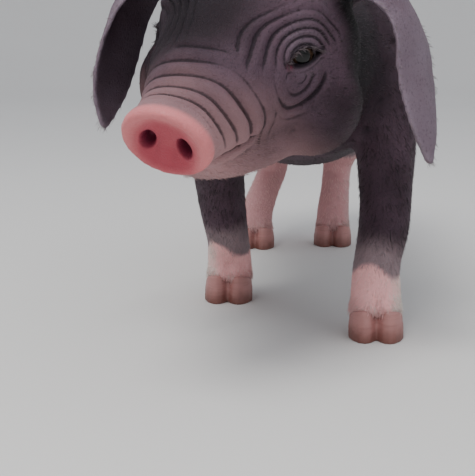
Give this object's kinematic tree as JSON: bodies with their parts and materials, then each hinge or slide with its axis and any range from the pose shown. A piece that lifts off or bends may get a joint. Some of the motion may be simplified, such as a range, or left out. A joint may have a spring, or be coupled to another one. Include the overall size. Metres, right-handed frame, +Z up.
{
  "type": "piglet museum model",
  "caption": "Still life-size model of a young wrinkled black piglet with drooping ears and pink feet, standing in mid-stride with its head turned.",
  "frame": {"origin": "on the floor, under the middle of the piglet's box", "axes": "+Z up, the piglet faces -Y and its left side is +X"},
  "size_m": [0.1548, 0.4188, 0.1899],
  "materials": {
    "skin_dark": "dark mauve-grey wrinkled skin under a thin short coat",
    "skin_pale": "pink skin under thin white hair, dark towards the body",
    "snout_skin": "moist pink bare skin",
    "claw_horn": "pinkish horn, faintly ridged",
    "eye": "wet, dark brown"
  },
  "bodies": {
    "root": {"head": "skin_dark", "lower_jaw": "skin_dark", "neck": "skin_dark", "trunk": "skin_dark", "tail": "skin_dark", "ear_left": "skin_dark", "ear_right": "skin_dark", "fore_left_upper": "skin_dark", "fore_right_upper": "skin_dark", "hind_left_upper": "skin_dark", "hind_right_upper": "skin_dark", "fore_left_lower": "skin_pale", "fore_right_lower": "skin_pale", "hind_left_lower": "skin_pale", "hind_right_lower": "skin_pale", "snout_disc": "snout_skin", "eye_left": "eye", "eye_right": "eye", "fore_left_claw_outer": "claw_horn", "fore_left_dewclaw_outer": "claw_horn", "fore_left_claw_inner": "claw_horn", "fore_left_dewclaw_inner": "claw_horn", "fore_right_claw_outer": "claw_horn", "fore_right_dewclaw_outer": "claw_horn", "fore_right_claw_inner": "claw_horn", "fore_right_dewclaw_inner": "claw_horn", "hind_left_claw_outer": "claw_horn", "hind_left_dewclaw_outer": "claw_horn", "hind_left_claw_inner": "claw_horn", "hind_left_dewclaw_inner": "claw_horn", "hind_right_claw_outer": "claw_horn", "hind_right_dewclaw_outer": "claw_horn", "hind_right_claw_inner": "claw_horn", "hind_right_dewclaw_inner": "claw_horn"}
  },
  "joints": []
}
